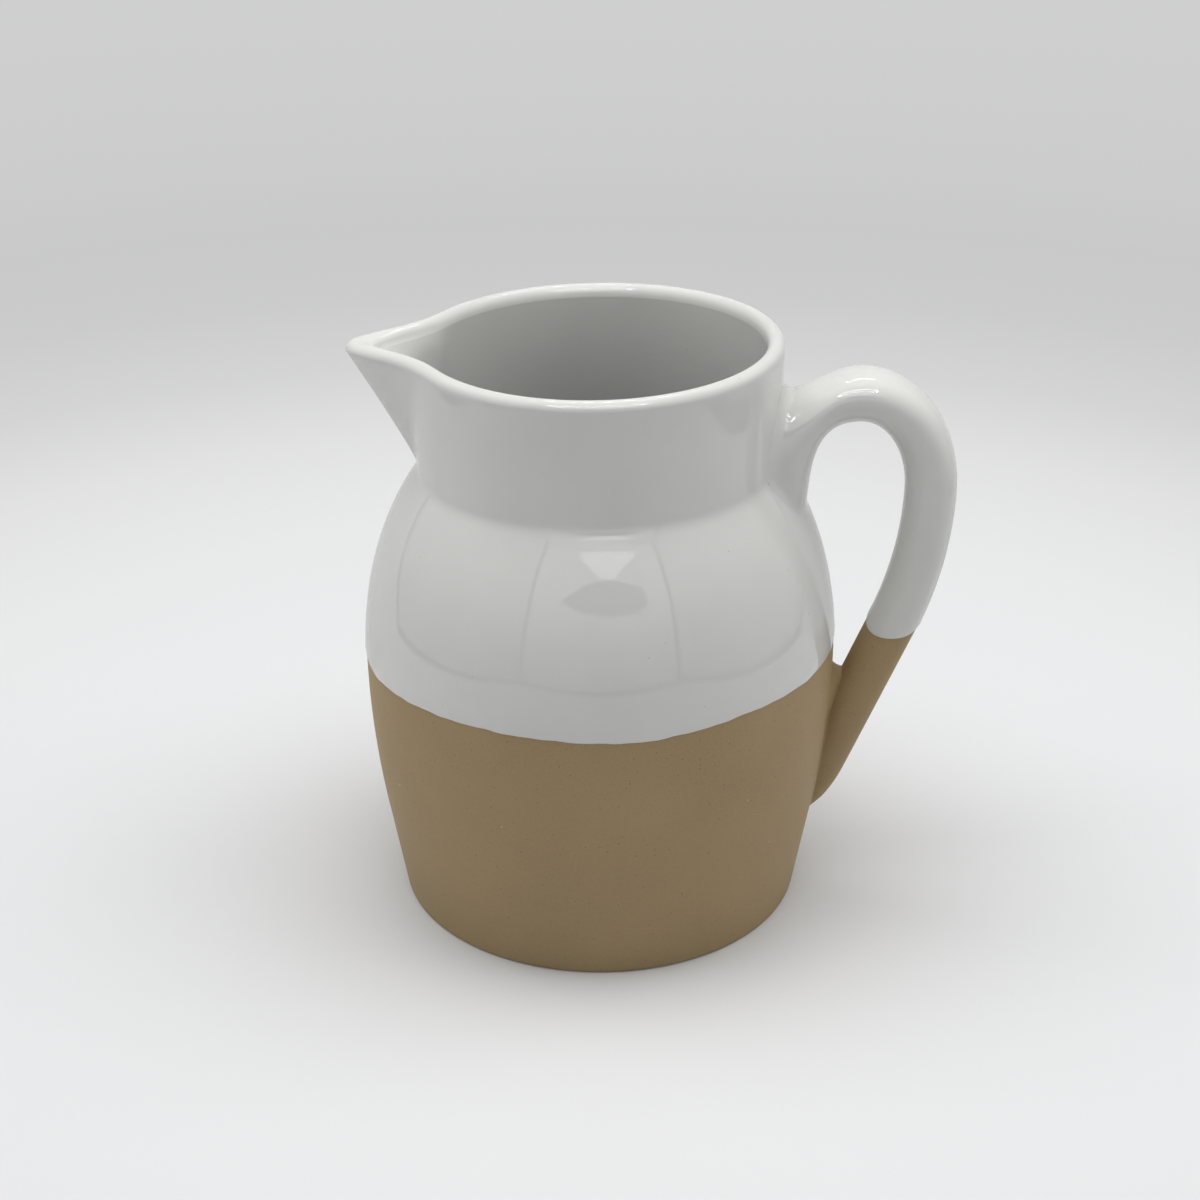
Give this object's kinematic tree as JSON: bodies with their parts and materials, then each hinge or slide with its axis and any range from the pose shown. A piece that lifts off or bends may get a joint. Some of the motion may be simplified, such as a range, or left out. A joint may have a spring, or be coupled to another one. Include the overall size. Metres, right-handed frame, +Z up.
{
  "type": "stoneware jug",
  "caption": "Round-bellied stoneware table jug with a straight collar, a drawn pouring spout and a loop handle, dipped in pale gloss glaze down to the widest part of the belly.",
  "frame": {"origin": "the middle of the flat base, on the surface the jug stands on", "axes": "+Z up along the axis on which the body is turned; -X towards the tip of the spout; the handle is on the +X side, in an upright plane turned 5 degrees from +X towards -Y"},
  "size_m": [0.1904, 0.1532, 0.19],
  "materials": {
    "clay": "bare fired stoneware, matt, with fine dark specks",
    "glaze": "pale gloss glaze with a few fine specks"
  },
  "bodies": {
    "root": {"body": "clay", "handle": "clay", "outside_glaze": "glaze", "lining_glaze": "glaze", "handle_glaze": "glaze"}
  },
  "joints": []
}
